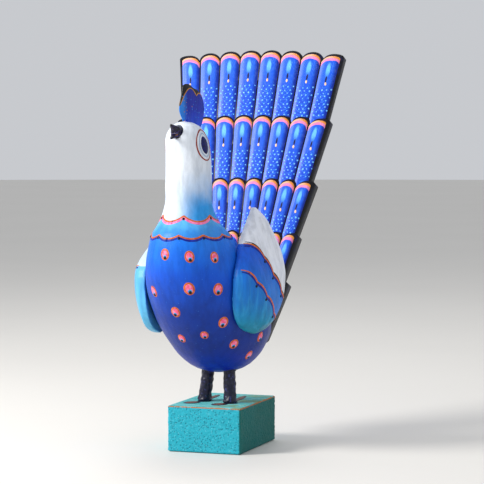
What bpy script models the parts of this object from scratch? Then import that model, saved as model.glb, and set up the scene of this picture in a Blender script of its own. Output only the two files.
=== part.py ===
"""Carved and painted wooden peacock on a block, built from its separate carved pieces.

Metres, +Z up. The origin is the middle of the block's underside, and the block's front faces -Y.
The bird has its own frame, an empty between its feet: +X is the bird's left, -Y is ahead of it.
"""

import math

import bmesh
import bpy
import numpy as np
from mathutils import Matrix, Vector

# Clearances between neighbouring pieces
GAP = 0.0003
END_GAP = 0.001

# Block
BASE_WIDTH = 0.057
BASE_DEPTH = 0.081
BASE_HEIGHT = 0.0338
BASE_EDGE = 0.0014

# Bird's place and heading on the block
BIRD_BACK = -0.008
BIRD_TURN = math.radians(-11.7)

# Legs: whittled dowels, let into the block and the body
LEG_RADIUS = 0.0052
LEG_FOOT_RADIUS = 0.0058
LEG_SHOULDER = 0.0004
LEG_LENGTH = 0.0212
LEG_IN_BASE = 0.015
LEG_IN_BODY = 0.015
LEG_SPREAD_LOW = 0.0113
LEG_SPREAD_HIGH = 0.0093
LEG_AHEAD_LOW = 0.002
LEG_FOOT_RISE = 0.0009
LEG_FOOT_HEIGHT = 0.007
LEG_SIDES = 16

# Body: an egg that leans forward into an upright neck and head, carved in one
BODY_BOTTOM = BASE_HEIGHT + LEG_LENGTH
BODY_HEIGHT = 0.1863
BODY_HALF_WIDTH = 0.0403
NECK_FORWARD = 0.041
# Each row: height share, half width share, depth over width, shift ahead share of NECK_FORWARD
BODY_STATIONS = (
    (0.000, 0.00, 1.10, -0.08),
    (0.007, 0.22, 1.14, -0.08),
    (0.027, 0.47, 1.18, -0.07),
    (0.063, 0.66, 1.20, -0.05),
    (0.113, 0.815, 1.22, -0.02),
    (0.156, 0.915, 1.22, 0.02),
    (0.214, 0.98, 1.23, 0.14),
    (0.329, 1.00, 1.23, 0.41),
    (0.402, 0.955, 1.22, 0.58),
    (0.491, 0.82, 1.20, 0.78),
    (0.566, 0.67, 1.12, 0.94),
    (0.612, 0.53, 1.05, 0.99),
    (0.665, 0.443, 1.00, 1.00),
    (0.760, 0.424, 1.00, 1.00),
    (0.887, 0.407, 1.00, 1.02),
    (0.941, 0.375, 1.00, 1.07),
    (0.975, 0.285, 1.00, 1.10),
    (0.991, 0.190, 1.00, 1.11),
    (1.000, 0.00, 1.00, 1.12),
)
BODY_RINGS = 40
BODY_SIDES = 44

# Beak: an open one, its root let into the face
BEAK_DROP = 0.0078
BEAK_REACH = 0.0066
BEAK_ROOT = 0.0060
BEAK_HALF_WIDTH = 0.0042
BEAK_HALF_HEIGHT = 0.0044
BEAK_TIP_HALF_WIDTH = 0.0008
BEAK_TIP_HALF_HEIGHT = 0.0057
BEAK_MOUTH = 0.0054
BEAK_MOUTH_DROP = 0.0010
BEAK_HOLLOW = 0.65
BEAK_SIDES = 20

# Crest: a leaf that stands along the crown on a tab
CREST_HEIGHT = 0.0267
CREST_HALF_THICKNESS = 0.0016
CREST_EDGE = 0.0006
CREST_FRONT = -0.0025
CREST_LENGTH = 0.0180
# Round the leaf from its rear foot to its front foot: share of the length, share of the height
CREST_LEAF = (
    (1.16, -0.28),
    (1.32, -0.14),
    (1.48, 0.06),
    (1.55, 0.29),
    (1.51, 0.51),
    (1.34, 0.69),
    (1.05, 0.835),
    (0.72, 0.90),
    (0.47, 0.98),
    (0.21, 1.00),
    (0.02, 0.955),
    (-0.06, 0.79),
    (-0.16, 0.60),
    (-0.26, 0.29),
)
CREST_TAB_LENGTH = 0.0090
CREST_TAB_HALF_THICKNESS = 0.0012
CREST_TAB_DEPTH = 0.0080
CREST_OUTLINE_POINTS = 56
CREST_SEAT_POINTS = 20

# Wings: leaves with their backs carved to the body, tips standing free
WING_RISE = 0.0325
WING_LENGTH = 0.0913
WING_HALF_WIDTH = 0.0300
WING_THICKNESS = 0.0115
WING_EDGE = 0.0045
# Each wing's own set: how far out it stands, how it flares to the rear, how its tip leans in
WING_SETS = {"left": (0.0370, 0.10, 0.23), "right": (0.0365, 0.10, 0.12)}
# How far each wing is set ahead of its usual place and below it, and how much thicker it is
WING_SHIFTS = {"left": (0.0, 0.0, 0.0), "right": (0.0050, 0.003, 0.0025)}
WING_MIDDLE = 0.0435
WING_BACKSET = 0.0107
# Each row: share of the length, half width share, shift back as a share of WING_HALF_WIDTH
WING_STATIONS = (
    (0.00, 0.00, -0.22),
    (0.03, 0.33, -0.19),
    (0.10, 0.68, -0.12),
    (0.22, 0.92, -0.05),
    (0.35, 1.00, -0.02),
    (0.50, 0.99, 0.02),
    (0.65, 0.84, 0.17),
    (0.80, 0.56, 0.31),
    (0.92, 0.28, 0.39),
    (1.00, 0.00, 0.35),
)
WING_OUTLINE_POINTS = 44
WING_RINGS = 7
WING_MELD = 0.002

# Wing pegs
PEG_RADIUS = 0.0015
PEG_IN_BODY = 0.009
PEG_IN_WING = 0.005
PEG_RISE = 0.033
PEG_OFFSETS = {"front": -0.012, "rear": 0.012}
PEG_SIDES = 12

# Tail fan: one plank, carved as rows of feathers, leaning back behind the rump
FAN_X = -0.0060
FAN_LEAN = math.radians(19.5)
FAN_FOOT_RISE = 0.025
FAN_SEAT_DEPTH = 0.007
FAN_THICKNESS = 0.013
FAN_FRONT_STEP = 0.0008
FAN_BACK_STEP = 0.0003
FAN_FEATHERS = 8
FAN_ROUND = 0.0060
FAN_SAG = 0.005
FAN_OVERLAP = 0.004
FAN_BOTTOM = -0.001
FAN_HEEL_DROP = 0.011
FAN_HEEL_HALF_WIDTH = 0.016
FAN_CORNER = 0.0030
FAN_NOTCH = 0.003
# Each row, from the top: height of its feather tips, half width there, half width where the next begins
FAN_ROWS = (
    (0.2320, 0.0682, 0.0602),
    (0.1782, 0.0628, 0.0520),
    (0.1266, 0.0562, 0.0455),
    (0.0838, 0.0475, 0.0380),
    (0.0458, 0.0430, 0.0300),
)
FAN_ARC_POINTS = 6

# Tongue of the fan, which drops into a slot in the rump
TONGUE_WIDTH = 0.020
TONGUE_THICKNESS = 0.009
TONGUE_REACH = 0.022
TONGUE_SLOPE = math.radians(30)
TONGUE_RISE = 0.006
TONGUE_IN_FAN = 0.006

# The bird's own left and right, and the way each lies along X
SIDES = (("left", 1), ("right", -1))


def clear_scene():
    for leftover in list(bpy.data.objects):
        bpy.data.objects.remove(leftover)


def spline(rows, count):
    """`count` rows along a smooth curve through the given rows; the first two columns set its pace."""
    rows = np.array(rows, float)
    steps = np.linalg.norm(np.diff(rows[:, :2], axis=0), axis=1)
    knots = np.concatenate([[0.0], np.cumsum(steps)])
    slopes = np.gradient(rows, knots, axis=0)
    at = np.linspace(0.0, knots[-1], count)
    span = np.clip(np.searchsorted(knots, at, side="right") - 1, 0, len(knots) - 2)
    width = (knots[span + 1] - knots[span])[:, None]
    t = (at - knots[span])[:, None] / width
    start, end = rows[span], rows[span + 1]
    leave, arrive = slopes[span] * width, slopes[span + 1] * width
    bend = (2 * t**3 - 3 * t**2 + 1) * start + (t**3 - 2 * t**2 + t) * leave
    return bend + (3 * t**2 - 2 * t**3) * end + (t**3 - t**2) * arrive


def ring_solid(rings):
    """A closed mesh through rings of points; a ring of one point is a pole. Flat ends are filled."""
    bm = bmesh.new()
    loops = [[bm.verts.new(point) for point in ring] for ring in rings]
    for low, high in zip(loops, loops[1:]):
        count = max(len(low), len(high))
        for i in range(count):
            j = (i + 1) % count
            corners = [low[i % len(low)], low[j % len(low)], high[j % len(high)], high[i % len(high)]]
            bm.faces.new(list(dict.fromkeys(corners)))
    for end in (loops[0], loops[-1]):
        if len(end) > 1:
            bm.faces.new(end)
    bmesh.ops.recalc_face_normals(bm, faces=bm.faces)
    return bm


def prism(outline, low, high, place):
    """A flat outline of (across, along) points given depth from `low` to `high` by `place`."""
    return ring_solid([[place(across, along, depth) for across, along in outline] for depth in (low, high)])


def box(low, high, matrix):
    """A box between two corners, then moved by `matrix`."""
    (west, south, floor), (east, north, roof) = low, high
    around = ((west, south), (east, south), (east, north), (west, north))
    bm = ring_solid([[Vector((x, y, z)) for x, y in around] for z in (floor, roof)])
    bmesh.ops.transform(bm, matrix=matrix, verts=bm.verts)
    return bm


def turned(profile, start, axis, sides):
    """A round piece along `axis` from `start`; the profile is (distance along the axis, radius)."""
    turn = axis.to_track_quat("Z", "Y")
    rings = []
    angles = [2 * math.pi * i / sides for i in range(sides)]
    for along, radius in profile:
        ring = [Vector((radius * math.cos(a), radius * math.sin(a), along)) for a in angles]
        rings.append([start + turn @ point for point in ring])
    return ring_solid(rings)


def piece(name, bm, parent, colour, roughness):
    """A named object with its own material, shaded smooth across its gentle edges."""
    mesh = bpy.data.meshes.new(name)
    bm.to_mesh(mesh)
    bm.free()
    mesh.shade_smooth()
    mesh.set_sharp_from_angle(angle=math.radians(40))
    obj = bpy.data.objects.new(name, mesh)
    bpy.context.scene.collection.objects.link(obj)
    obj.parent = parent
    material = bpy.data.materials.new(name)
    material.use_nodes = True
    shader = material.node_tree.nodes["Principled BSDF"]
    shader.inputs["Base Color"].default_value = (*colour, 1)
    shader.inputs["Roughness"].default_value = roughness
    shader.inputs["Metallic"].default_value = 0.0
    mesh.materials.append(material)
    return obj


def combine(obj, name, bm, operation):
    """Cuts a shape from the object, or joins it on, with an exact Boolean."""
    mesh = bpy.data.meshes.new(name)
    bm.to_mesh(mesh)
    bm.free()
    helper = bpy.data.objects.new(name, mesh)
    bpy.context.scene.collection.objects.link(helper)
    helper.parent = obj.parent
    helper.hide_render = True
    helper.display_type = "WIRE"
    modifier = obj.modifiers.new(name, "BOOLEAN")
    modifier.operation = operation
    modifier.solver = "EXACT"
    modifier.object = helper


def empty(name, location, turn):
    frame = bpy.data.objects.new(name, None)
    bpy.context.scene.collection.objects.link(frame)
    frame.location = location
    frame.rotation_euler = turn
    return frame


def body_profile(count):
    """Rows of (height, half width, half depth, forward shift) up the body."""
    rows = []
    for rise, girth, depth_ratio, shift in BODY_STATIONS:
        height = BODY_BOTTOM + rise * BODY_HEIGHT
        rows.append((height, girth * BODY_HALF_WIDTH, depth_ratio, shift * NECK_FORWARD))
    profile = spline(rows, count)
    profile[:, 2] *= profile[:, 1]
    return profile


FINE_PROFILE = body_profile(400)


def section(height):
    """(half width, half depth, forward shift) of the body at a height."""
    heights = FINE_PROFILE[:, 0]
    return tuple(float(np.interp(height, heights, FINE_PROFILE[:, column])) for column in (1, 2, 3))


def body_side(back, height):
    """How far the body's flank stands from its middle plane."""
    half_width, half_depth, ahead = section(height)
    if half_depth <= 0:
        return 0.0
    share = (back + ahead) / half_depth
    return half_width * math.sqrt(max(0.0, 1 - share * share))


def crown_height(back):
    """Height of the crown's middle line at a place along the head."""
    head = FINE_PROFILE[FINE_PROFILE[:, 0] > BODY_BOTTOM + 0.85 * BODY_HEIGHT]
    front = np.minimum.accumulate((-head[:, 2] - head[:, 3])[::-1])[::-1]
    rear = np.maximum.accumulate((head[:, 2] - head[:, 3])[::-1])[::-1]
    inside = head[(front <= back) & (back <= rear), 0]
    return float(inside.max()) if len(inside) else float(head[0, 0])


def body_rings():
    rings = []
    for height, half_width, half_depth, ahead in body_profile(BODY_RINGS):
        if half_width < 1e-5:
            rings.append([(0.0, -ahead, height)])
            continue
        angles = [2 * math.pi * i / BODY_SIDES for i in range(BODY_SIDES)]
        rings.append([(half_width * math.cos(a), half_depth * math.sin(a) - ahead, height) for a in angles])
    return rings


def leg_line(side):
    """Where a leg's axis passes the top of the block, and its direction up into the body."""
    low = Vector((side * LEG_SPREAD_LOW, -LEG_AHEAD_LOW, BASE_HEIGHT))
    high = Vector((side * LEG_SPREAD_HIGH, 0, BODY_BOTTOM))
    return low, (high - low).normalized()


def leg(side):
    tenon = LEG_RADIUS - LEG_SHOULDER
    low, axis = leg_line(side)
    profile = (
        (-LEG_IN_BASE, tenon),
        (LEG_FOOT_RISE, tenon),
        (LEG_FOOT_RISE, LEG_FOOT_RADIUS),
        (LEG_FOOT_HEIGHT / 2, LEG_RADIUS + (LEG_FOOT_RADIUS - LEG_RADIUS) / 3),
        (LEG_FOOT_HEIGHT, LEG_RADIUS),
        (LEG_LENGTH + LEG_IN_BODY, LEG_RADIUS),
    )
    return turned(profile, low, axis, LEG_SIDES)


def leg_hole(side, start, end, radius):
    low, axis = leg_line(side)
    return turned(((start, radius + GAP), (end, radius + GAP)), low, axis, LEG_SIDES)


def base_block():
    """The block, with its edges eased."""
    half = Vector((BASE_WIDTH / 2, BASE_DEPTH / 2, 0))
    bm = box(-half, half + Vector((0, 0, BASE_HEIGHT)), Matrix.Identity(4))
    bmesh.ops.bevel(bm, geom=bm.edges, offset=BASE_EDGE, segments=2, profile=0.5, affect="EDGES")
    return bm


def beak_place():
    """The point of the face that the beak stands on."""
    height = BODY_BOTTOM + BODY_HEIGHT - BEAK_DROP
    _, half_depth, ahead = section(height)
    return Vector((0, -ahead - half_depth, height))


def beak_rings(grow):
    """Ellipses from the root inside the face to the tip; `grow` widens them into the socket."""
    rings = []
    place = beak_place()
    for ahead in (-BEAK_ROOT - grow, -BEAK_ROOT / 2, 0.0, BEAK_REACH / 3, 2 * BEAK_REACH / 3, BEAK_REACH):
        share = max(0.0, ahead / BEAK_REACH)
        wide = BEAK_HALF_WIDTH + (BEAK_TIP_HALF_WIDTH - BEAK_HALF_WIDTH) * share**BEAK_HOLLOW + grow
        tall = BEAK_HALF_HEIGHT + (BEAK_TIP_HALF_HEIGHT - BEAK_HALF_HEIGHT) * share + grow
        angles = [2 * math.pi * i / BEAK_SIDES for i in range(BEAK_SIDES)]
        rings.append([place + Vector((wide * math.cos(a), -ahead, tall * math.sin(a))) for a in angles])
    return rings


def beak_mouth():
    """The wedge that opens the beak into two tips."""
    place = beak_place()
    gape = BEAK_TIP_HALF_HEIGHT * 0.85
    front = BEAK_REACH + END_GAP
    outline = ((-front, -gape), (-front, gape), (-BEAK_REACH + BEAK_MOUTH, -BEAK_MOUTH_DROP))
    side = BEAK_HALF_WIDTH + END_GAP
    return prism(outline, -side, side, lambda back, up, x: place + Vector((x, back, up)))


def crest_outline():
    """The leaf's edge as (back, height): along the crown, then up round the leaf."""
    front = -NECK_FORWARD * BODY_STATIONS[-1][3] + CREST_FRONT
    back = front + CREST_LENGTH
    seat = crown_height(front) + GAP
    leaf = [(front + along * CREST_LENGTH, seat + rise * CREST_HEIGHT) for along, rise in CREST_LEAF]
    edge = [(back, crown_height(back) + GAP)] + leaf + [(front, seat)]
    around = [(b, max(up, crown_height(b) + GAP)) for b, up in spline(edge, CREST_OUTLINE_POINTS)]
    crown = [(b, crown_height(b) + GAP) for b in np.linspace(front, back, CREST_SEAT_POINTS)[1:-1]]
    return around + crown


def leaf_solid(outline, centre, rings, place):
    """A closed leaf: rings grow from its centre to the edge on one face and shrink back on the other."""
    layers = []
    for face in (0, 1):
        shares = [ring / rings for ring in range(rings + 1)]
        for share in shares if face == 0 else reversed(shares):
            if share == 0:
                layers.append([place(*centre, face, 0.0)])
                continue
            middle = Vector(centre)
            points = [middle + share * (Vector(point) - middle) for point in outline]
            layers.append([place(a, b, face, share) for a, b in points])
    return ring_solid(layers)


def crest():
    outline = crest_outline()
    centre = tuple(np.mean(outline, axis=0))

    def place(back, height, face, share):
        half = CREST_EDGE + (CREST_HALF_THICKNESS - CREST_EDGE) * math.sqrt(1 - share * share)
        return (half if face else -half, back, height)

    return leaf_solid(outline, centre, 4, place)


def crest_tab(grow, lift):
    """The tab that holds the crest; `grow` widens it into its slot and `lift` is its upper end."""
    front = -NECK_FORWARD * BODY_STATIONS[-1][3] + CREST_FRONT + (CREST_LENGTH - CREST_TAB_LENGTH) / 2
    seat = crown_height(front + CREST_TAB_LENGTH / 2)
    deep = CREST_TAB_DEPTH + (END_GAP if grow else 0.0)
    side = CREST_TAB_HALF_THICKNESS + grow
    low = (-side, front - grow, seat - deep)
    return box(low, (side, front + CREST_TAB_LENGTH + grow, seat + lift), Matrix.Identity(4))


def wing_outline(name):
    """The leaf's edge as (back, height), up its front and down its rear."""
    rows = [(along * WING_LENGTH, half * WING_HALF_WIDTH, sweep) for along, half, sweep in WING_STATIONS]
    side = spline(rows, WING_OUTLINE_POINTS // 2 + 1)
    ahead, drop, _ = WING_SHIFTS[name]
    foot = BODY_BOTTOM + WING_RISE - drop
    middle = -WING_BACKSET - ahead
    front = [(sweep * WING_HALF_WIDTH + middle - half, foot + along) for along, half, sweep in side]
    rear = [(sweep * WING_HALF_WIDTH + middle + half, foot + along) for along, half, sweep in side]
    return front + rear[-2:0:-1]


def wing_back(name, back, height):
    """Distance of the wing's carved back from the middle plane: on the flank, or free of it."""
    stand, flare, lean = WING_SETS[name]
    flank = body_side(back, height)
    above = max(0.0, height - BODY_BOTTOM - WING_RISE - WING_MIDDLE)
    free = stand + flare * (back + WING_BACKSET) - lean * above
    blend = math.sqrt((flank - free) ** 2 + WING_MELD**2)
    return GAP + (flank + free + blend) / 2


def wing(name, side):
    outline = wing_outline(name)
    centre = (-WING_BACKSET, BODY_BOTTOM + WING_RISE + WING_MIDDLE)

    swell = WING_SHIFTS[name][2]

    def place(back, height, face, share):
        depth = WING_EDGE + swell + (WING_THICKNESS - WING_EDGE) * math.sqrt(1 - share**3)
        return (side * (wing_back(name, back, height) + face * depth), back, height)

    return leaf_solid(outline, centre, WING_RINGS, place)


def wing_peg(name, side, offset, grow):
    """A peg across the joint of wing and flank; `grow` makes the hole for it."""
    back = -WING_BACKSET + offset
    height = BODY_BOTTOM + WING_RISE + PEG_RISE
    inner = body_side(back, height) - PEG_IN_BODY
    outer = wing_back(name, back, height) + PEG_IN_WING
    end = END_GAP if grow else 0.0
    profile = ((inner - end, PEG_RADIUS + grow), (outer + end, PEG_RADIUS + grow))
    return turned(profile, Vector((0, back, height)), Vector((side, 0, 0)), PEG_SIDES)


def fan_foot():
    """World place of the fan's front face where it bears on the rump."""
    height = BODY_BOTTOM + FAN_FOOT_RISE
    _, half_depth, ahead = section(height)
    rump = BIRD_BACK + (half_depth - ahead) * math.cos(BIRD_TURN)
    return Vector((FAN_X, rump - FAN_SEAT_DEPTH, height))


def feather_row(top, half_top, waist, waist_half, foot, foot_half):
    """Outline of one row: a foot, sides that taper to a waist, and a round tip on each feather."""
    outline = [(-waist_half, waist), (-foot_half, foot), (foot_half, foot), (waist_half, waist)]
    width = 2 * half_top / FAN_FEATHERS
    for feather in range(FAN_FEATHERS):
        middle = half_top - (feather + 0.5) * width
        droop = FAN_SAG * (middle / FAN_ROWS[0][1]) ** 2
        for step in range(FAN_ARC_POINTS + 1):
            angle = math.pi * step / FAN_ARC_POINTS
            if step == FAN_ARC_POINTS and feather < FAN_FEATHERS - 1:
                continue
            across = middle + width / 2 * math.cos(angle)
            fall = FAN_CORNER if abs(across) > half_top - width / 2 else FAN_ROUND
            outline.append((across, top - droop - fall * (1 - math.sin(angle))))
    return outline


def fan_row(index):
    """One row as a slab. A lower row stands prouder, in front and behind."""
    top, half_top, waist_half = FAN_ROWS[index]
    if index == len(FAN_ROWS) - 1:
        waist, foot, foot_half = FAN_BOTTOM, FAN_BOTTOM - FAN_HEEL_DROP, FAN_HEEL_HALF_WIDTH
    else:
        waist = FAN_ROWS[index + 1][0] - FAN_NOTCH
        foot = FAN_ROWS[index + 1][0] - FAN_ROUND - FAN_SAG - FAN_OVERLAP
        foot_half = waist_half - FAN_NOTCH / 2
    inset = len(FAN_ROWS) - 1 - index
    front = FAN_FRONT_STEP * inset
    back = FAN_THICKNESS - FAN_BACK_STEP * inset
    outline = feather_row(top, half_top, waist, waist_half, foot, foot_half)
    return prism(outline, front, back, lambda across, along, depth: Vector((across, depth, along)))


def tongue(grow, root):
    """The fan's tongue, or with `grow` the slot for it; `root` is how far it runs back into the fan."""
    slope = Matrix.Rotation(TONGUE_SLOPE + FAN_LEAN, 4, "X")
    place = Matrix.Translation((0, 0, TONGUE_RISE)) @ slope
    side = TONGUE_WIDTH / 2 + grow
    thick = TONGUE_THICKNESS / 2 + grow
    deep = TONGUE_REACH + (END_GAP if grow else 0.0)
    return box((-side, -deep, -thick), (side, root, thick), place)


def build_tail():
    """The fan in its own frame, an empty on the slide's axis: +Z runs up the plank and -Y leaves its front."""
    frame = empty("tail_frame", fan_foot(), (-FAN_LEAN, 0, 0))
    fan = piece("tail_fan", fan_row(0), frame, (0.015, 0.10, 0.75), 0.35)
    for index in range(1, len(FAN_ROWS)):
        combine(fan, f"tail_row_{index + 1}", fan_row(index), "UNION")
    combine(fan, "tail_tongue", tongue(0.0, TONGUE_IN_FAN), "UNION")
    return frame


def build_body(bird, tail_frame):
    body = piece("body", ring_solid(body_rings()), bird, (0.02, 0.12, 0.70), 0.4)
    span = BODY_HEIGHT
    seat = box((-span, -GAP, -span), (span, span, 2 * span), Matrix.Identity(4))
    slot = tongue(GAP, TONGUE_IN_FAN)
    bpy.context.view_layer.update()
    to_bird = bird.matrix_world.inverted() @ tail_frame.matrix_world
    for bm in (seat, slot):
        bmesh.ops.transform(bm, matrix=to_bird, verts=bm.verts)
    combine(body, "rump_seat", seat, "DIFFERENCE")
    combine(body, "rump_slot", slot, "DIFFERENCE")
    for name, side in SIDES:
        start = LEG_FOOT_HEIGHT
        hole = leg_hole(side, start, LEG_LENGTH + LEG_IN_BODY + END_GAP, LEG_RADIUS)
        combine(body, f"{name}_leg_socket", hole, "DIFFERENCE")
        for place, offset in PEG_OFFSETS.items():
            combine(body, f"{name}_{place}_peg_hole", wing_peg(name, side, offset, GAP), "DIFFERENCE")
    combine(body, "beak_socket", ring_solid(beak_rings(GAP)), "DIFFERENCE")
    combine(body, "crest_slot", crest_tab(GAP, CREST_HEIGHT), "DIFFERENCE")


def build_head_pieces(bird):
    beak = piece("beak", ring_solid(beak_rings(0.0)), bird, (0.01, 0.01, 0.02), 0.3)
    combine(beak, "beak_mouth", beak_mouth(), "DIFFERENCE")
    leaf = piece("crest", crest(), bird, (0.01, 0.03, 0.45), 0.35)
    combine(leaf, "crest_tab", crest_tab(0.0, CREST_HEIGHT / 4), "UNION")


def build_wing(name, side, bird):
    shell = piece(f"{name}_wing", wing(name, side), bird, (0.02, 0.30, 0.75), 0.4)
    for place, offset in PEG_OFFSETS.items():
        hole = wing_peg(name, side, offset, GAP)
        combine(shell, f"{name}_wing_{place}_hole", hole, "DIFFERENCE")
        piece(f"{name}_wing_{place}_peg", wing_peg(name, side, offset, 0.0), bird, (0.55, 0.40, 0.24), 0.7)


def build_base(bird):
    block = piece("base_block", base_block(), None, (0.03, 0.55, 0.65), 0.6)
    bpy.context.view_layer.update()
    for name, side in SIDES:
        hole = leg_hole(side, -LEG_IN_BASE - END_GAP, LEG_LENGTH / 2, LEG_RADIUS - LEG_SHOULDER)
        bmesh.ops.transform(hole, matrix=bird.matrix_world, verts=hole.verts)
        combine(block, f"{name}_leg_mortise", hole, "DIFFERENCE")


def main():
    clear_scene()
    bird = empty("bird_frame", (0, BIRD_BACK, 0), (0, 0, BIRD_TURN))
    build_base(bird)
    for name, side in SIDES:
        piece(f"{name}_leg", leg(side), bird, (0.01, 0.01, 0.03), 0.35)
        build_wing(name, side, bird)
    build_body(bird, build_tail())
    build_head_pieces(bird)


main()
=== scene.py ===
"""The looks of a carved and painted wooden peacock: finer carving, brushed paint and painted marks.

Metres, +Z up, in the CAD frame. Pieces of the bird are made in the bird's own frame (-Y ahead, +X its
left) and pieces of the tail in the fan's own frame (+Z up the plank, -Y out of its front).
"""

import math
import random

import bmesh
import bpy
import numpy as np
from mathutils import Matrix, Vector, noise
from mathutils.bvhtree import BVHTree


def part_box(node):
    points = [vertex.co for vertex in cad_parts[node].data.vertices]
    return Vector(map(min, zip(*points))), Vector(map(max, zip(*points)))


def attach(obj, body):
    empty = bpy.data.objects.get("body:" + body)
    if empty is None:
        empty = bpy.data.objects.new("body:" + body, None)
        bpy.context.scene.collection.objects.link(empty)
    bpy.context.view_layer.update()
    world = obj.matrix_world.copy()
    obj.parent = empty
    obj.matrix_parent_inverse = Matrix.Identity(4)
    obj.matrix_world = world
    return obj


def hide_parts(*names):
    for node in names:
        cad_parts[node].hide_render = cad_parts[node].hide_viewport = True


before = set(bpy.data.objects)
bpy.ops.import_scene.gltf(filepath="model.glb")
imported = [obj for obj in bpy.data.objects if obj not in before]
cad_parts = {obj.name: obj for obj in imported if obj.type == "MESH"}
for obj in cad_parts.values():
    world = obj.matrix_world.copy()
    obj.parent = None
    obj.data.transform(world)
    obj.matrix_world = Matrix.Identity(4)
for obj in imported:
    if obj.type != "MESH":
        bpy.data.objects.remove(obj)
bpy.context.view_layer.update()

# Camera
CAMERA_AZIMUTH = math.radians(19.9)
CAMERA_DISTANCE = 1.533
CAMERA_HEIGHT = 0.236
CAMERA_AIM_RIGHT = 0.0146
CAMERA_AIM_HEIGHT = 0.1517
CAMERA_LENS = 153.97

# The bird's frame, as in the CAD model
BIRD = Matrix.Translation((0, -0.008, 0)) @ Matrix.Rotation(math.radians(-11.7), 4, "Z")
BLOCK = Matrix.Identity(4)
SIDES = (("left", 1), ("right", -1))

# The body's middle line: height, how far back of the bird's frame, depth over width
BODY_AXIS = (
    (0.055, 0.003, 1.15),
    (0.095, -0.006, 1.23),
    (0.116, -0.017, 1.23),
    (0.13, -0.024, 1.22),
    (0.146, -0.032, 1.2),
    (0.16, -0.0385, 1.12),
    (0.18, -0.041, 1.0),
    (0.24, -0.042, 1.0),
)

# Swags painted round the breast: count, bearing of the first cusp in degrees, cusp height, sag
COLLARS = {"upper": (6, 22.0, 0.1738, 0.0042), "lower": (10, 18.0, 0.1602, 0.0025)}

# Feather spots on the body: bearing from straight ahead in degrees, height, size
BODY_SPOTS = (
    (-1.5, 0.1466, 1.0), (30, 0.1452, 1.0), (59, 0.1445, 0.95), (-23, 0.1192, 1.0), (23, 0.1223, 1.15),
    (51, 0.1217, 1.05), (1.5, 0.1048, 1.05), (47, 0.0972, 1.05), (-5.5, 0.0844, 0.9),
    (25, 0.0877, 0.85), (57, 0.0802, 1.0), (84, 0.0702, 0.95), (93, 0.0839, 0.95), (-68, 0.0745, 1.0),
    (-92, 0.08, 0.95), (122, 0.138, 0.95), (-122, 0.138, 0.95), (135, 0.119, 1.0), (-135, 0.119, 1.0),
)

# Scalloped lines on each wing: notches as (back, height) and how far each scallop bulges
WING_LINES = {
    "upper": (
        ((-0.034, 0.149), (-0.0112, 0.1425), (-0.0046, 0.1303), (0.0068, 0.1165), (0.02, 0.1)),
        (0.0072, 0.0014, 0.002, 0.002),
    ),
    "lower": (
        ((-0.0475, 0.1335), (-0.028, 0.126), (-0.0178, 0.1158), (-0.0055, 0.1023), (0.008, 0.088)),
        (0.0052, 0.0016, 0.002, 0.002),
    ),
}

SCALLOP_POINTS = 12

# Arcs that bound the crest's black tip: middle, top, steepness
CREST_ARCS = ((-0.0405, 0.2646, 84.0), (-0.0285, 0.2612, 110.0))
# The tip's paint ends here on the leaf's front edge
CREST_TIP_LOWEST = 0.25

# Each eye's bearing from straight ahead, by side
EYE_BEARINGS = {1: 82, -1: 88}
EYE_HEIGHT = 0.224

# Tail fan, as in the CAD model
FAN_LEAN = math.radians(19.5)
FAN_X = -0.006
FAN_THICKNESS = 0.013
FAN_FRONT_STEP = 0.0008
FAN_BACK_STEP = 0.0003
FAN_FEATHERS = 8
FAN_ROUND = 0.006
FAN_SAG = 0.005
FAN_OVERLAP = 0.004
FAN_BOTTOM = -0.001
FAN_HEEL_DROP = 0.011
FAN_HEEL_HALF_WIDTH = 0.016
FAN_CORNER = 0.003
FAN_NOTCH = 0.003
# Each row, from the top: height of its feather tips, half width there, half width where the next begins
FAN_ROWS = (
    (0.232, 0.0682, 0.0602),
    (0.1782, 0.0628, 0.052),
    (0.1266, 0.0562, 0.0455),
    (0.0838, 0.0475, 0.038),
    (0.0458, 0.043, 0.03),
)
FAN_EDGE = 0.0007
TONGUE = {"width": 0.02, "thickness": 0.009, "reach": 0.022, "slope": math.radians(30), "rise": 0.006}
TONGUE_ROOT = 0.006
TONGUE_TIP = {"length": 0.0015, "ease": 0.0012}

# Carved feathers on the plank
FEATHER_RIM = 0.0021
FEATHER_SIDE_RIM = 0.0014
FEATHER_GROOVE = 0.0006
FEATHER_RELIEF = 0.0016
FEATHER_BACK_RELIEF = 0.0008
FEATHER_COLUMNS = 14
FEATHER_STEPS = 26
# Its rows crowd towards the tip; how square it is across, how blunt its tip is and how it thins to the foot
FEATHER_CROWDING = 1.25
FEATHER_SQUARENESS = 4.5
FEATHER_NOSE_CM = 0.22
FEATHER_TAPER = 0.62
CM = 0.01
# Its peach drop and the pale dots under it: how far down, room left above the waist, sizes, spread, strays
DROP_FALL = 0.0235
DROP_ROOM = 0.004
DROP_SIZE = (0.0008, 0.0014)
DROP_RELIEF = 0.0003
DOTS_FALL = 0.0048
DOTS_STEP = 0.0029
DOTS_SPREAD = 0.74
DOTS_STRAY = (-0.0005, 0.0005)
DOTS_SIZES = (0.0005, 0.0008)
# Just inside a feather's edge, where the next one's rounding doesn't apply
INSIDE = 0.9999

# Every paint
COAT_ROUGHNESS = 0.25
GRAIN = 0.55
SPECULAR = 0.2

# How deep a mark of paint is let into the surface under it
SINK = 0.00015

# Finer meshes of the CAD pieces: voxel size, smoothing passes
MESHES = {
    "body": (0.001, 6),
    "wing": (0.0008, 6),
    "crest": (0.0004, 4),
    "beak": (0.00025, 1),
    "leg": (0.0005, 3),
    "block": (0.0007, 3),
}
# Knife cuts and pits: depth, size across
CUTS = {"body": (0.0005, 0.011), "wing": (0.0005, 0.012), "leg": (0.0011, 0.0032), "block": (0.0007, 0.0016)}
SHARP_ANGLE = math.radians(50)
WELD = 0.000001

# A ray at a piece's side starts this far out; a face turned less than this to the side isn't painted
FAR = 0.2
FACING = 0.05

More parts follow.
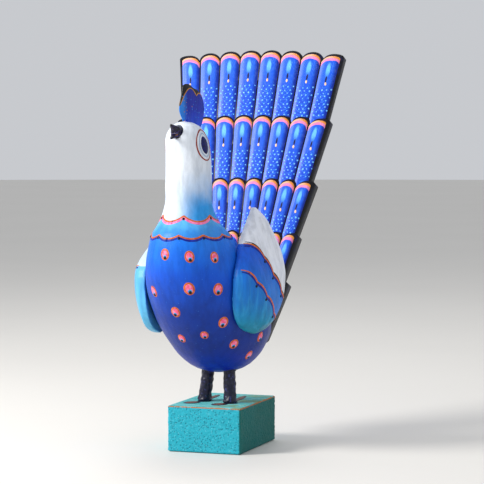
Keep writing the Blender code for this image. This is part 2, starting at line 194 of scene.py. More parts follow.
# Strokes of a painted line: shift up, width, relief
COLLAR_STROKES = {
    "upper": (-0.0013, 0.0021, 0.0002),
    "lower": (-0.0013, 0.0017, 0.0002),
    "orange": (0.0, 0.0013, 0.00035),
}
WING_STROKES = {
    "navy": (-0.0015, 0.0024, 0.0002),
    "orange": (0.0, 0.0014, 0.0004),
    "black": (0.0013, 0.0013, 0.0002),
}
COLLAR_STEP = 2.5

# Dots at the cusps: radius, relief, and where they hang from a collar's cusp or a wing line's notch
DOT_RADIUS = 0.001
DOT_RELIEF = 0.0004
SPECK_RELIEF = 0.0002
COLLAR_DOT_DROP = 0.0022
WING_DOT_AHEAD = 0.001
WING_DOT_DROP = 0.0028

# Layers of a spot: how far below its middle, half width, half height, relief, lift, sides, rings
SPOT_LAYERS = (
    (0.0, 0.0037, 0.0045, 0.00025, 0.0, 20, 3),
    (0.0, 0.0025, 0.0033, 0.0003, 0.0002, 20, 3),
    (0.0017, 0.0014, 0.0014, 0.0003, 0.0004, 14, 2),
    (0.0024, 0.0011, 0.0012, 0.0003, 0.0006, 14, 2),
)
SPOT_LEAN = 0.3

# Eye: lean, the head's radius there, then half across and half up for ring, halo and pupil
EYE_LEAN = math.radians(13)
EYE_RADIUS = 0.0165
EYE_RING = (0.0078, 0.011)
EYE_HALO = (0.0053, 0.0084)
EYE_PUPIL = (0.004, 0.0067)

# Specks on the crest: how many, and the region and sizes that they are drawn from
CREST_SPECKS = 34
CREST_SPECK_BACKS = (-0.051, -0.024)
CREST_SPECK_HEIGHTS = (0.242, 0.259)
CREST_SPECK_SIZES = (0.00025, 0.0005)
CREST_LINE_BACKS = (-0.056, -0.018, 0.0006)

# Gold line on the beak: which shares of its reach, how far below the middle at the tip, its rise to the root
BEAK_LINE_SPAN = (0.45, 0.95, 9)
BEAK_LINE_REACH = 0.0095
BEAK_LINE_DROP = 0.003
BEAK_LINE_RISE = 0.0016

# Toes painted on the block: start, end, half width
TOES = (
    ((-0.014, -0.012), (-0.02, -0.026), 0.0058),
    ((0.0085, -0.015), (0.003, -0.029), 0.0058),
    ((-0.0125, -0.004), (-0.013, 0.03), 0.003),
    ((0.0105, -0.006), (0.008, 0.03), 0.003),
)

# Small marks: paint and its second tone
MARK_PAINTS = {
    "line_navy": ((0.004, 0.012, 0.2), (0.006, 0.03, 0.34)),
    "line_black": ((0.003, 0.003, 0.006), (0.008, 0.008, 0.03)),
    "line_orange": ((0.5, 0.085, 0.012), (0.72, 0.18, 0.02)),
    "collar_pink": ((0.85, 0.1, 0.33), (0.95, 0.28, 0.5)),
    "collar_navy": ((0.004, 0.012, 0.22), (0.006, 0.03, 0.4)),
    "spot_pink": ((0.88, 0.09, 0.22), (0.95, 0.27, 0.44)),
    "spot_blue": ((0.01, 0.26, 0.7), (0.03, 0.42, 0.8)),
    "eye_ring": ((0.22, 0.012, 0.008), (0.34, 0.05, 0.02)),
    "eye_halo": ((0.3, 0.42, 0.6), (0.42, 0.52, 0.66)),
    "eye_pupil": ((0.003, 0.004, 0.06), (0.005, 0.01, 0.14)),
    "crest_gold": ((0.42, 0.17, 0.03), (0.6, 0.28, 0.06)),
    "crest_blue": ((0.02, 0.14, 0.7), (0.05, 0.3, 0.8)),
    "beak_gold": ((0.4, 0.16, 0.05), (0.6, 0.3, 0.12)),
    "foot_outline": ((0.008, 0.008, 0.03), (0.02, 0.02, 0.06)),
    "foot_fill": ((0.1, 0.03, 0.02), (0.22, 0.07, 0.04)),
    "feather_peach": ((0.9, 0.55, 0.28), (0.96, 0.7, 0.45)),
    "feather_dots": ((0.1, 0.42, 0.92), (0.25, 0.62, 0.97)),
}
MARK_GRAIN = 500.0


def fan_frame():
    """The fan's own frame, set from the CAD fan's top edge."""
    _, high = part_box("tail_fan")
    inset = len(FAN_ROWS) - 1
    front, back = FAN_FRONT_STEP * inset, FAN_THICKNESS - FAN_BACK_STEP * inset
    rise = FAN_ROWS[0][0]
    foot_y = high.y - back * math.cos(FAN_LEAN) - rise * math.sin(FAN_LEAN)
    foot_z = high.z + front * math.sin(FAN_LEAN) - rise * math.cos(FAN_LEAN)
    return Matrix.Translation((FAN_X, foot_y, foot_z)) @ Matrix.Rotation(-FAN_LEAN, 4, "X")


FAN = fan_frame()


class Graph:
    """A material's node tree, in a frame of its own, with short calls for the nodes that the paints share."""

    def __init__(self, name, roughness, coat=0.0, matrix=BIRD):
        self.material = bpy.data.materials.new(name)
        self.material.use_nodes = True
        self.tree = self.material.node_tree
        self.shader = self.tree.nodes["Principled BSDF"].inputs
        self.shader["Roughness"].default_value = roughness
        self.shader["Coat Weight"].default_value = coat
        self.shader["Coat Roughness"].default_value = COAT_ROUGHNESS
        self.shader["Specular IOR Level"].default_value = SPECULAR
        back = matrix.inverted()
        own = {"Location": back.to_translation(), "Rotation": back.to_euler()}
        own["Vector"] = self.new("ShaderNodeTexCoord").outputs["Object"]
        self.place = self.new("ShaderNodeMapping", own).outputs[0]
        self.x, self.y, self.z = self.parts(self.place)

    def new(self, kind, inputs=None, **settings):
        node = self.tree.nodes.new(kind)
        for key, value in settings.items():
            setattr(node, key, value)
        for key, value in (inputs or {}).items():
            self.feed(node.inputs[key], value)
        return node

    def feed(self, socket, value):
        if isinstance(value, bpy.types.NodeSocket):
            self.tree.links.new(value, socket)
        elif socket.type == "RGBA":
            socket.default_value = (*value, 1.0)
        else:
            socket.default_value = value

    def parts(self, vector):
        return self.new("ShaderNodeSeparateXYZ", {0: vector}).outputs[:3]

    def math(self, operation, first, second=0.0):
        return self.new("ShaderNodeMath", {0: first, 1: second}, operation=operation).outputs[0]

    def times(self, first, second):
        return self.math("MULTIPLY", first, second)

    def share(self, value, start, length):
        """How far along a stretch a value lies, 0 to 1."""
        return self.math("DIVIDE", self.math("SUBTRACT", value, start), length)

    def oval(self, across, along, middle, half_across, half_along):
        """0 at the middle of an oval, 1 on its edge."""
        side = self.math("POWER", self.math("DIVIDE", across, half_across), 2.0)
        end = self.math("POWER", self.share(along, middle, half_along), 2.0)
        return self.math("ADD", side, end)

    def step(self, value, low, high):
        """0 at `low`, 1 at `high`, eased between them; `low` may be the greater."""
        flip = float(low > high)
        span = {"From Min": min(low, high), "From Max": max(low, high), "To Min": flip, "To Max": 1.0 - flip}
        node = self.new("ShaderNodeMapRange", {"Value": value, **span}, interpolation_type="SMOOTHSTEP")
        return node.outputs["Result"]

    def mix(self, share, first, second, blend="MIX"):
        inputs = {0: share, 6: first, 7: second}
        return self.new("ShaderNodeMix", inputs, data_type="RGBA", blend_type=blend).outputs[2]

    def tint(self, colour, share, strength, over):
        """The colour with another laid over it, as strongly as `share` times `strength`."""
        return self.mix(self.times(share, strength), colour, over)

    def stretched(self, stretch, turn=(0, 0, 0)):
        inputs = {"Vector": self.place, "Scale": stretch, "Rotation": turn}
        return self.new("ShaderNodeMapping", inputs).outputs[0]

    def noise(self, scale, detail=3.0, stretch=(1, 1, 1), turn=(0, 0, 0)):
        inputs = {"Scale": scale, "Detail": detail, "Roughness": GRAIN}
        inputs["Vector"] = self.stretched(stretch, turn)
        return self.new("ShaderNodeTexNoise", inputs).outputs["Fac"]

    def patches(self, scale, detail, low, high):
        """Cloudy patches: 0 where the noise is under `low`, 1 where it is over `high`."""
        return self.step(self.noise(scale, detail), low, high)

    def cells(self, scale):
        inputs = {"Scale": scale, "Vector": self.stretched((1, 1, 1))}
        return self.new("ShaderNodeTexVoronoi", inputs).outputs["Distance"]

    def attribute(self, name):
        return self.new("ShaderNodeAttribute", attribute_name=name).outputs["Fac"]

    def past(self, line, soft=0.0002):
        """0 on one side of a painted line, 1 on the other."""
        return self.step(self.attribute(line), -soft, soft)

    def ramp(self, value, stops):
        node = self.new("ShaderNodeValToRGB", {0: value})
        points = node.color_ramp.elements
        while len(points) < len(stops):
            points.new(0.5)
        for point, (at, colour) in zip(points, stops):
            point.position = at
            point.color = (*colour, 1.0)
        return node.outputs["Color"]

    def brushed(self, colour, stretch, depth):
        """The colour with the streaks of a brush and the cloudiness of hand-mixed paint."""
        streaks = self.step(self.noise(260.0, 4.0, stretch), 0.62, 0.34)
        dark = self.mix(streaks, (1, 1, 1), (1 - depth * 2,) * 3)
        colour = self.mix(1.0, colour, dark, "MULTIPLY")
        clouds = self.patches(70.0, 2.0, 0.35, 0.7)
        return self.mix(self.times(clouds, depth), colour, (0.75, 0.85, 1.0), "SOFT_LIGHT")

    def finish(self, colour, height, distance, gloss=None, strength=0.6):
        """Colour, relief from `height` (0 to 1) over `distance`, and roughness between two values."""
        self.feed(self.shader["Base Color"], colour)
        relief = {"Strength": strength, "Distance": distance, "Height": height}
        self.feed(self.shader["Normal"], self.new("ShaderNodeBump", relief).outputs[0])
        if gloss:
            span = {"Value": self.noise(90.0, 3.0), "To Min": gloss[0], "To Max": gloss[1]}
            self.feed(self.shader["Roughness"], self.new("ShaderNodeMapRange", span).outputs[0])
        return self.material


def mark_paint(name, roughness=0.4):
    """Paint for a small mark: two close tones and the ridges that a brush leaves."""
    colour, shade = MARK_PAINTS[name]
    graph = Graph(name, roughness, 0.1)
    tone = graph.mix(graph.step(graph.noise(MARK_GRAIN, 3.0), 0.35, 0.65), colour, shade)
    return graph.finish(tone, graph.noise(MARK_GRAIN * 2, 2.0), 0.0002, (roughness - 0.08, roughness + 0.1))


def body_paint():
    graph = Graph("body_paint", 0.42, 0.04)
    wobble = graph.times(graph.noise(60.0, 3.0), 0.02)
    height = graph.math("ADD", graph.z, graph.math("SUBTRACT", wobble, 0.01))
    low = graph.share(height, 0.055, 0.105)
    breast = graph.ramp(low, (
        (0.0, (0.001, 0.02, 0.4)),
        (0.22, (0.001, 0.024, 0.24)),
        (0.45, (0.001, 0.036, 0.32)),
        (0.72, (0.003, 0.085, 0.62)),
        (1.0, (0.012, 0.2, 0.84)),
    ))
    band = graph.mix(graph.step(height, 0.158, 0.172), (0.035, 0.26, 0.78), (0.11, 0.47, 0.88))
    white = graph.mix(graph.noise(45.0, 3.0), (0.7, 0.77, 0.88), (0.8, 0.85, 0.92))
    blue = graph.mix(graph.noise(80.0, 4.0, (1, 1, 0.4)), (0.005, 0.23, 0.72), (0.05, 0.43, 0.92))
    rising = graph.step(height, 0.211, 0.176)
    flank = graph.step(graph.x, -0.002, 0.017)
    wash = graph.times(rising, graph.math("ADD", graph.times(flank, 0.93), 0.1))
    neck = graph.mix(wash, white, blue)
    colour = graph.mix(graph.past("upper_collar"), band, neck)
    colour = graph.mix(graph.past("lower_collar"), breast, colour)
    colour = graph.brushed(colour, (0.8, 0.8, 0.22), 0.09)
    specks = graph.step(graph.cells(330.0), 0.11, 0.05)
    specks = graph.times(specks, graph.step(graph.z, 0.2, 0.17))
    colour = graph.tint(colour, specks, 0.35, (0.1, 0.42, 0.95))
    relief = graph.mix(0.5, graph.noise(420.0, 4.0, (1, 1, 0.3)), graph.noise(1300.0, 2.0))
    return graph.finish(colour, relief, 0.0005, (0.34, 0.52))


def wing_paint():
    graph = Graph("wing_paint", 0.42, 0.08)
    tip = graph.mix(graph.noise(120.0, 4.0), (0.74, 0.78, 0.89), (0.9, 0.92, 0.97))
    pits = graph.step(graph.cells(260.0), 0.075, 0.04)
    tip = graph.tint(tip, pits, 0.55, (0.1, 0.11, 0.18))
    middle = graph.mix(graph.step(graph.z, 0.112, 0.15), (0.012, 0.2, 0.74), (0.006, 0.1, 0.66))
    foot = graph.ramp(graph.share(graph.z, 0.084, 0.055), (
        (0.0, (0.004, 0.17, 0.2)),
        (0.22, (0.005, 0.24, 0.42)),
        (0.5, (0.008, 0.2, 0.62)),
        (1.0, (0.008, 0.15, 0.7)),
    ))
    strokes = graph.step(graph.noise(230.0, 3.0, (1.0, 1.0, 0.1), (0.25, 0, 0)), 0.5, 0.7)
    foot = graph.tint(foot, strokes, 0.28, (0.06, 0.48, 0.8))
    # Painted highlight: the right wing's front, which faces the key light, is laid over with paler blues,
    # partly its own paler paint and partly painted highlight
    pale = graph.times(graph.step(graph.x, -0.005, -0.02), graph.step(graph.y, 0.005, -0.025))
    middle = graph.tint(middle, pale, 0.85, (0.62, 0.78, 0.93))
    foot = graph.tint(foot, pale, 0.8, (0.13, 0.5, 0.82))
    colour = graph.mix(graph.past("lower_line"), foot, middle)
    colour = graph.mix(graph.past("upper_line"), colour, tip)
    colour = graph.brushed(colour, (0.8, 0.8, 0.16), 0.1)
    relief = graph.mix(0.5, graph.noise(420.0, 4.0, (1, 1, 0.2)), graph.noise(1300.0, 2.0))
    return graph.finish(colour, relief, 0.0005, (0.34, 0.52))


def block_paint():
    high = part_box("base_block")[1]
    graph = Graph("block_paint", 0.6, 0.0, BLOCK)
    bright = graph.mix(graph.noise(55.0, 4.0), (0.012, 0.34, 0.44), (0.028, 0.44, 0.56))
    pits = graph.step(graph.cells(620.0), 0.34, 0.12)
    colour = graph.tint(bright, pits, 0.75, (0.004, 0.12, 0.2))
    chalk = graph.patches(900.0, 2.0, 0.58, 0.7)
    colour = graph.tint(colour, chalk, 0.45, (0.22, 0.66, 0.74))
    top = graph.step(graph.z, high.z - 0.0012, high.z - 0.0006)
    streaks = graph.noise(260.0, 3.0, (0.1, 1.0, 1.0), (0, 0, 0.35))
    table = graph.mix(graph.step(streaks, 0.38, 0.62), (0.05, 0.42, 0.42), (0.2, 0.64, 0.64))
    worn = graph.patches(75.0, 4.0, 0.44, 0.6)
    worn = graph.times(graph.step(graph.x, -0.004, 0.022), worn)
    table = graph.tint(table, worn, 0.7, (0.25, 0.33, 0.1))
    colour = graph.mix(top, colour, table)
    # Painted shade: the block's right face, turned away from the key light, is painted a dark green-blue
    right_face_painted_shade = graph.step(graph.x, high.x - 0.0016, high.x - 0.0008)
    painted_shade_green = graph.mix(graph.noise(60.0, 4.0), (0.004, 0.105, 0.085), (0.006, 0.15, 0.15))
    colour = graph.mix(graph.times(right_face_painted_shade, graph.math("SUBTRACT", 1.0, top)), colour, painted_shade_green)
    across = graph.math("SUBTRACT", graph.math("ABSOLUTE", graph.x), high.x - 0.0011)
    along = graph.math("SUBTRACT", graph.math("ABSOLUTE", graph.y), high.y - 0.0011)
    rim = graph.step(graph.math("MAXIMUM", across, along), 0.0, 0.0005)
    ridge = graph.times(rim, graph.step(graph.z, high.z - 0.0014, high.z - 0.0009))
    ridge = graph.times(ridge, graph.patches(160.0, 4.0, 0.36, 0.5))
    colour = graph.mix(ridge, colour, (0.42, 0.13, 0.03))
    relief = graph.mix(0.6, graph.noise(800.0, 3.0), graph.step(graph.cells(620.0), 0.05, 0.45))
    return graph.finish(colour, relief, 0.0008, (0.5, 0.75), 0.8)


def leg_paint():
    graph = Graph("leg_paint", 0.3, 0.3)
    worn = graph.patches(420.0, 4.0, 0.56, 0.72)
    colour = graph.mix(worn, (0.006, 0.007, 0.026), (0.035, 0.045, 0.2))
    return graph.finish(colour, graph.noise(500.0, 4.0, (1, 1, 0.5)), 0.0006, (0.22, 0.42), 0.8)


def beak_paint():
    graph = Graph("beak_paint", 0.3, 0.3)
    worn = graph.patches(700.0, 3.0, 0.5, 0.66)
    colour = graph.mix(worn, (0.003, 0.003, 0.008), (0.035, 0.02, 0.16))
    return graph.finish(colour, graph.noise(900.0, 3.0), 0.0003, (0.25, 0.4))


def crest_paint():
    graph = Graph("crest_paint", 0.35, 0.15)
    rise = graph.share(graph.z, 0.24, 0.026)
    colour = graph.ramp(rise, (
        (0.0, (0.008, 0.07, 0.7)),
        (0.35, (0.004, 0.022, 0.42)),
        (1.0, (0.003, 0.01, 0.3)),
    ))
    lit = graph.step(graph.y, -0.044, -0.0505)
    colour = graph.tint(colour, lit, 0.7, (0.03, 0.3, 0.9))
    colour = graph.brushed(colour, (1, 1, 0.3), 0.1)
    colour = graph.mix(graph.past("tip", 0.0001), colour, (0.003, 0.003, 0.006))
    return graph.finish(colour, graph.noise(600.0, 4.0, (1, 1, 0.3)), 0.0004, (0.28, 0.45))


def plank_paint():
    graph = Graph("plank_paint", 0.4, 0.1, FAN)
    clouds = graph.patches(180.0, 4.0, 0.5, 0.72)
    colour = graph.mix(clouds, (0.003, 0.003, 0.006), (0.008, 0.01, 0.055))
    return graph.finish(colour, graph.noise(350.0, 4.0, (1, 1, 0.25)), 0.0005, (0.32, 0.5))


def feather_paint():
    """Bands, strokes, flame and dash of one feather, from its own coordinates in centimetres."""
    graph = Graph("feather_paint", 0.36, 0.12, FAN)
    across, along, _ = graph.parts(graph.new("ShaderNodeUVMap", uv_map="feather").outputs[0])
    edge = graph.attribute("edge")
    wobble = graph.times(graph.math("SUBTRACT", graph.noise(170.0, 2.0), 0.5), 0.16)
    down = graph.math("ADD", along, wobble)
    round_about = graph.math("SQRT", graph.oval(across, down, 2.1, 0.62, 1.55))
    wave = graph.math("SINE", graph.times(graph.math("ADD", round_about, wobble), 34.0))
    broken = graph.patches(330.0, 3.0, 0.4, 0.58)
    strokes = graph.times(graph.step(wave, 0.1, 0.9), broken)
    field = graph.mix(graph.step(down, 0.6, 4.4), (0.01, 0.11, 0.78), (0.005, 0.072, 0.66))
    field = graph.tint(field, strokes, 0.55, (0.045, 0.26, 0.95))
    # Painted shade along each feather's right edge and a painted lavender highlight along its left edge,
    # where the key light from the left falls
    field = graph.tint(field, graph.step(edge, 0.45, 0.95), 0.85, (0.003, 0.012, 0.26))
    field = graph.tint(field, graph.step(edge, -0.62, -0.9), 0.55, (0.26, 0.36, 0.92))
    flame = graph.oval(across, down, 1.25, 0.25, 0.72)
    flame = graph.times(graph.step(flame, 1.0, 0.25), graph.step(down, 2.0, 1.15))
    field = graph.tint(field, flame, 0.85, (0.17, 0.6, 0.95))
    dash = graph.oval(across, along, 1.98, 0.095, 0.3)
    field = graph.mix(graph.step(dash, 1.0, 0.55), field, (0.002, 0.004, 0.06))
    pink = graph.mix(graph.noise(300.0, 2.0), (0.8, 0.17, 0.42), (0.95, 0.34, 0.6))
    # The orange band at the tip: its own orange, paled to cream towards each feather's left edge as painted
    # highlight
    orange_band_painted_highlight = graph.mix(graph.step(edge, -0.3, 0.6), (0.92, 0.52, 0.3), (0.9, 0.32, 0.06))
    colour = graph.mix(graph.step(down, 0.4, 0.43), pink, field)
    colour = graph.mix(graph.step(down, 0.185, 0.215), orange_band_painted_highlight, colour)
    relief = graph.mix(0.5, graph.noise(420.0, 4.0, (1, 1, 0.2)), strokes)
    return graph.finish(colour, relief, 0.0004, (0.28, 0.44))


def feather_back_paint():
    graph = Graph("feather_back_paint", 0.42, 0.05, FAN)
    along = graph.parts(graph.new("ShaderNodeUVMap", uv_map="feather").outputs[0])[1]
    colour = graph.mix(graph.step(along, 0.3, 4.2), (0.012, 0.11, 0.72), (0.004, 0.03, 0.36))
    strokes = graph.step(graph.noise(300.0, 3.0, (1, 1, 0.12)), 0.5, 0.66)
    colour = graph.tint(colour, strokes, 0.4, (0.03, 0.22, 0.85))
    return graph.finish(colour, graph.noise(420.0, 4.0, (1, 1, 0.2)), 0.0004, (0.34, 0.5))


def peg_paint():
    graph = Graph("bare_wood", 0.7)
    rings = graph.noise(240.0, 4.0, (0.15, 1, 1))
    colour = graph.mix(rings, (0.5, 0.34, 0.18), (0.72, 0.55, 0.34))
    return graph.finish(colour, graph.noise(700.0, 3.0, (0.2, 1, 1)), 0.0003, (0.6, 0.8))


def mesh_from(bm, name):
    """A mesh from a bmesh, which is freed."""
    mesh = bpy.data.meshes.new(name)
    bm.to_mesh(mesh)
    bm.free()
    return mesh


def placed(name, data):
    """A new object in the scene."""
    obj = bpy.data.objects.new(name, data)
    bpy.context.scene.collection.objects.link(obj)
    return obj


def link(name, mesh, matrix, material, body):
    """An object from a mesh made in its own frame, smooth across gentle edges, that rides on a body."""
    mesh.name = name
    mesh.transform(matrix)
    mesh.shade_smooth()
    mesh.set_sharp_from_angle(angle=SHARP_ANGLE)
    mesh.materials.clear()
    mesh.materials.append(material)
    obj = placed(name, mesh)
    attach(obj, body)
    return obj


def refined(node, matrix, voxel, smoothing):
    """A finer mesh of a CAD node in its own frame, its hard edges eased as a knife and paint leave them."""
    bm = bmesh.new()
    bm.from_mesh(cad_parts[node].data)
    bmesh.ops.remove_doubles(bm, verts=bm.verts, dist=WELD)
    bmesh.ops.transform(bm, matrix=matrix.inverted(), verts=bm.verts)
    coarse = placed("coarse", mesh_from(bm, "coarse"))
    remesh = coarse.modifiers.new("remesh", "REMESH")
    remesh.mode = "VOXEL"
    remesh.voxel_size = voxel
    smooth = coarse.modifiers.new("smooth", "SMOOTH")
    smooth.factor = 0.5
    smooth.iterations = smoothing
    fine = bpy.data.meshes.new_from_object(coarse.evaluated_get(bpy.context.evaluated_depsgraph_get()))
    bpy.data.objects.remove(coarse)
    return fine


def carve(mesh, depth, size, where=lambda place: 1.0):
    """Sinks the surface by up to `depth` in soft cuts about `size` across."""
    normals = [vertex.normal.copy() for vertex in mesh.vertices]
    for vertex, normal in zip(mesh.vertices, normals):
        cut = 0.5 + 0.5 * noise.noise(vertex.co / size)
        vertex.co -= normal * depth * min(1.0, max(0.0, cut)) * where(vertex.co)
    mesh.update()


def set_attribute(mesh, name, values):
    mesh.attributes.new(name, "FLOAT", "POINT").data.foreach_set("value", np.asarray(values, np.float32))


class Skin:
    """A piece's surface in its own frame, for marks to be laid on."""

    def __init__(self, mesh):
        places = [vertex.co for vertex in mesh.vertices]
        self.tree = BVHTree.FromPolygons(places, [face.vertices for face in mesh.polygons])

    def seen(self, start, direction):
        place, normal, _, _ = self.tree.ray_cast(Vector(start), Vector(direction).normalized())
        return (place, normal) if place else None

    def near(self, point):
        place, normal, _, _ = self.tree.find_nearest(point)
        return place, normal

    def outer(self, side, back, height):
        """What a ray from the bird's left (1) or right (-1) meets, where that faces the same side."""
        at = self.seen((side * FAR, back, height), (-side, 0, 0))
        return at if at and at[1].x * side > FACING else None


class Marks:
    """Marks of one paint, gathered into one mesh."""

    def __init__(self):
        self.bm = bmesh.new()

    def close(self, loops):
        """A solid through loops of points, with a face on each end."""
        rows = [[self.bm.verts.new(point) for point in loop] for loop in loops]
        for low, high in zip(rows, rows[1:]):
            for i in range(len(low)):
                j = (i + 1) % len(low)
                self.bm.faces.new((low[i], low[j], high[j], high[i]))
        self.bm.faces.new(list(reversed(rows[0])))
        self.bm.faces.new(rows[-1])

    def oval(self, skin, at, up, half_width, half_height, relief, lift, sides, rings):
        """A low dome of paint that follows the surface."""
        centre, normal = at
        across = Vector(up).cross(normal).normalized()
        up = normal.cross(across)
        loops = []
        for ring in range(rings, 0, -1):
            share = ring / rings
            loop = []
            for k in range(sides):
                angle = 2 * math.pi * k / sides
                offset = across * half_width * math.cos(angle) + up * half_height * math.sin(angle)
                place, facing = skin.near(centre + offset * share)
                rise = -SINK if ring == rings else lift + relief * (1 - share * share)
                loop.append(place + facing * rise)
            loops.append(loop)
            if ring == rings:
                raised = normal * (SINK + lift + relief * 0.3)
                loops.append([point + (centre - point) * 0.06 + raised for point in loop])
        self.close(loops)

    def dot(self, skin, at, size, relief, lift, sides=12):
        self.oval(skin, at, (0, 0, 1), size, size, relief, lift, sides, 2)

    def line(self, route, width, relief, closed=False):
        """A ridge of paint along (place, normal) pairs, a little uneven in width."""
        count = len(route)
        loops = []
        for i, (place, normal) in enumerate(route):
            ahead = route[(i + 1) % count if closed else min(i + 1, count - 1)][0]
            behind = route[(i - 1) % count if closed else max(i - 1, 0)][0]
            side = (ahead - behind).cross(normal).normalized()
            uneven = 1 + 0.22 * noise.noise(place * 190)
            half = width / 2 * uneven
            if not closed:
                half *= min(1.0, 0.35 + 0.65 * min(i, count - 1 - i) / 3)
            shoulder = relief * 0.6
            section = ((-1, -SINK), (-0.85, shoulder), (0, relief), (0.85, shoulder), (1, -SINK))
            loops.append([place + side * half * across + normal * rise for across, rise in section])
        if closed:
            loops.append([point.copy() for point in loops[0]])
        self.close(loops)

    def piece(self, name, body, slot, matrix=BIRD, material=None):
        """The marks as one object, in a shared material or in the mark paint of the same name."""
        bmesh.ops.remove_doubles(self.bm, verts=self.bm.verts, dist=WELD)
        bmesh.ops.recalc_face_normals(self.bm, faces=self.bm.faces)
        return link(name, mesh_from(self.bm, name), matrix, material or mark_paint(name), body)


def body_axis(height):
    """(how far back the body's middle line is, depth over width) at a height."""
    heights, backs, ratios = zip(*BODY_AXIS)
    return float(np.interp(height, heights, backs)), float(np.interp(height, heights, ratios))


def on_body(skin, bearing, height):
    """Place and normal on the body at a bearing from straight ahead."""
    back, ratio = body_axis(height)
    angle = math.radians(bearing)
    outward = Vector((math.sin(angle), -math.cos(angle) * ratio, 0)).normalized()
    return skin.seen(Vector((0, back, height)) + outward * 0.15, -outward)


def swag_height(collar, bearing):
    """Height of a swagged line at a bearing: cusps with a sag between them."""
    count, first, cusp, sag = COLLARS[collar]
    share = ((bearing - first) * count / 360) % 1
    return cusp - sag * 4 * share * (1 - share)


def body_with_collars():
    mesh = refined("body", BIRD, *MESHES["body"])
    carve(mesh, *CUTS["body"])
    for collar in COLLARS:
        gaps = []
        for vertex in mesh.vertices:
            back, ratio = body_axis(vertex.co.z)
            bearing = math.degrees(math.atan2(vertex.co.x, -(vertex.co.y - back) / ratio))
            gaps.append(vertex.co.z - swag_height(collar, bearing))
        set_attribute(mesh, f"{collar}_collar", gaps)
    skin = Skin(mesh)
    obj = link("painted_body", mesh, BIRD, body_paint(), "figure")
    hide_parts("body")
    return skin


def collar_lines(skin, orange, dots):
    pink, navy = Marks(), Marks()
    for collar, under in (("upper", pink), ("lower", navy)):
        count, first, _, _ = COLLARS[collar]
        for marks, stroke in ((under, collar), (orange, "orange")):
            shift, width, relief = COLLAR_STROKES[stroke]
            bearings = np.arange(0, 360, COLLAR_STEP)
            route = [on_body(skin, bearing, swag_height(collar, bearing) + shift) for bearing in bearings]
            marks.line([at for at in route if at], width, relief, closed=True)
        for cusp in range(count):
            bearing = first + cusp * 360 / count
            at = on_body(skin, bearing, swag_height(collar, bearing) - COLLAR_DOT_DROP)
            dots.dot(skin, at, DOT_RADIUS, DOT_RELIEF, 0.0003)
    pink.piece("collar_pink", "figure", "body_paint")
    navy.piece("collar_navy", "figure", "body_paint")


def body_spots(skin, orange, dots):
    fill, glint = Marks(), Marks()
    tilt = random.Random(4)
    for bearing, height, size in BODY_SPOTS:
        at = on_body(skin, bearing, height)
        if at is None:
            continue
        lean = tilt.uniform(-SPOT_LEAN, SPOT_LEAN)
        up = Vector((lean * math.cos(math.radians(bearing)), lean * math.sin(math.radians(bearing)), 1))
        for marks, layer in zip((orange, fill, glint, dots), SPOT_LAYERS):
            drop, half_width, half_height, *rest = layer
            place = skin.near(at[0] - up * drop * size) if drop else at
            marks.oval(skin, place, up, half_width * size, half_height * size, *rest)
    fill.piece("spot_pink", "figure", "body_paint")
    glint.piece("spot_blue", "figure", "body_paint")


def eye(skin, side, ring, pupil, halo):
    """A thin ring, a grey halo and a dark pupil, leaning ahead at the top."""
    middle = EYE_BEARINGS[side]
    at = on_body(skin, side * middle, EYE_HEIGHT)

    def ellipse(half_across, half_up, count):
        route = []
        for k in range(count):
            angle = 2 * math.pi * k / count
            across, up = half_across * math.cos(angle), half_up * math.sin(angle)
            back = across * math.cos(EYE_LEAN) - up * math.sin(EYE_LEAN)
            rise = across * math.sin(EYE_LEAN) + up * math.cos(EYE_LEAN)
            bearing = side * (middle + math.degrees(back / EYE_RADIUS))
            route.append(on_body(skin, bearing, EYE_HEIGHT + rise))
        return route

    ring.line(ellipse(*EYE_RING, 56), 0.001, 0.0003, closed=True)
    halo.line(ellipse(*EYE_HALO, 44), 0.0011, 0.0002, closed=True)
    up = Vector((0, -math.tan(EYE_LEAN), 1))
    pupil.oval(skin, at, up, *EYE_PUPIL, 0.0003, 0.0001, 28, 4)


def scallops(line):
    """Points of a scalloped line as (back, height)."""
    notches, bulges = WING_LINES[line]
    points = []
    for (start, end), bulge in zip(zip(notches, notches[1:]), bulges):
        along = Vector(end) - Vector(start)
        out = Vector((-along.y, along.x)).normalized()
        for k in range(SCALLOP_POINTS):
            t = k / SCALLOP_POINTS
            points.append(Vector(start) + along * t + out * bulge * 4 * t * (1 - t))
    points.append(Vector(notches[-1]))
    return points


def painted_wing(name, side, orange, dots):
    """A wing with its colours parted by scalloped lines."""
    mesh = refined(f"{name}_wing", BIRD, *MESHES["wing"])
    carve(mesh, *CUTS["wing"])
    for line in WING_LINES:
        backs, heights = zip(*((point.x, point.y) for point in scallops(line)))
        gaps = [vertex.co.z - float(np.interp(vertex.co.y, backs, heights)) for vertex in mesh.vertices]
        set_attribute(mesh, f"{line}_line", gaps)
    skin = Skin(mesh)
    obj = link(f"painted_{name}_wing", mesh, BIRD, WING_PAINT, "figure")
    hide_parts(f"{name}_wing")
    under, black = Marks(), Marks()
    for line in WING_LINES:
        wing_line(skin, side, line, under, *WING_STROKES["navy"])
        wing_line(skin, side, line, orange, *WING_STROKES["orange"])
        if line == "upper":
            wing_line(skin, side, line, black, *WING_STROKES["black"])
        for back, height in WING_LINES[line][0][1:-1]:
            at = skin.outer(side, back - WING_DOT_AHEAD, height - WING_DOT_DROP)
            if at:
                dots.dot(skin, at, DOT_RADIUS, DOT_RELIEF, 0.0002)
    under.piece(f"{name}_wing_navy", "figure", "wing_paint", material=NAVY)
    black.piece(f"{name}_wing_black", "figure", "wing_paint", material=BLACK)


def wing_line(skin, side, line, marks, shift, width, relief):
    """A line of paint along a scalloped line, in stretches that lie on the wing."""
    stretch = []
    for point in scallops(line) + [None]:
        at = None if point is None else skin.outer(side, point.x, point.y + shift)
        if at:
            stretch.append(at)
        elif len(stretch) > 2:
            marks.line(stretch, width, relief)
            stretch = []


def crest_tip(back):
    """Height at which the crest's black tip begins."""
    return max(CREST_TIP_LOWEST, *(peak - steep * (back - middle) ** 2 for middle, peak, steep in CREST_ARCS))


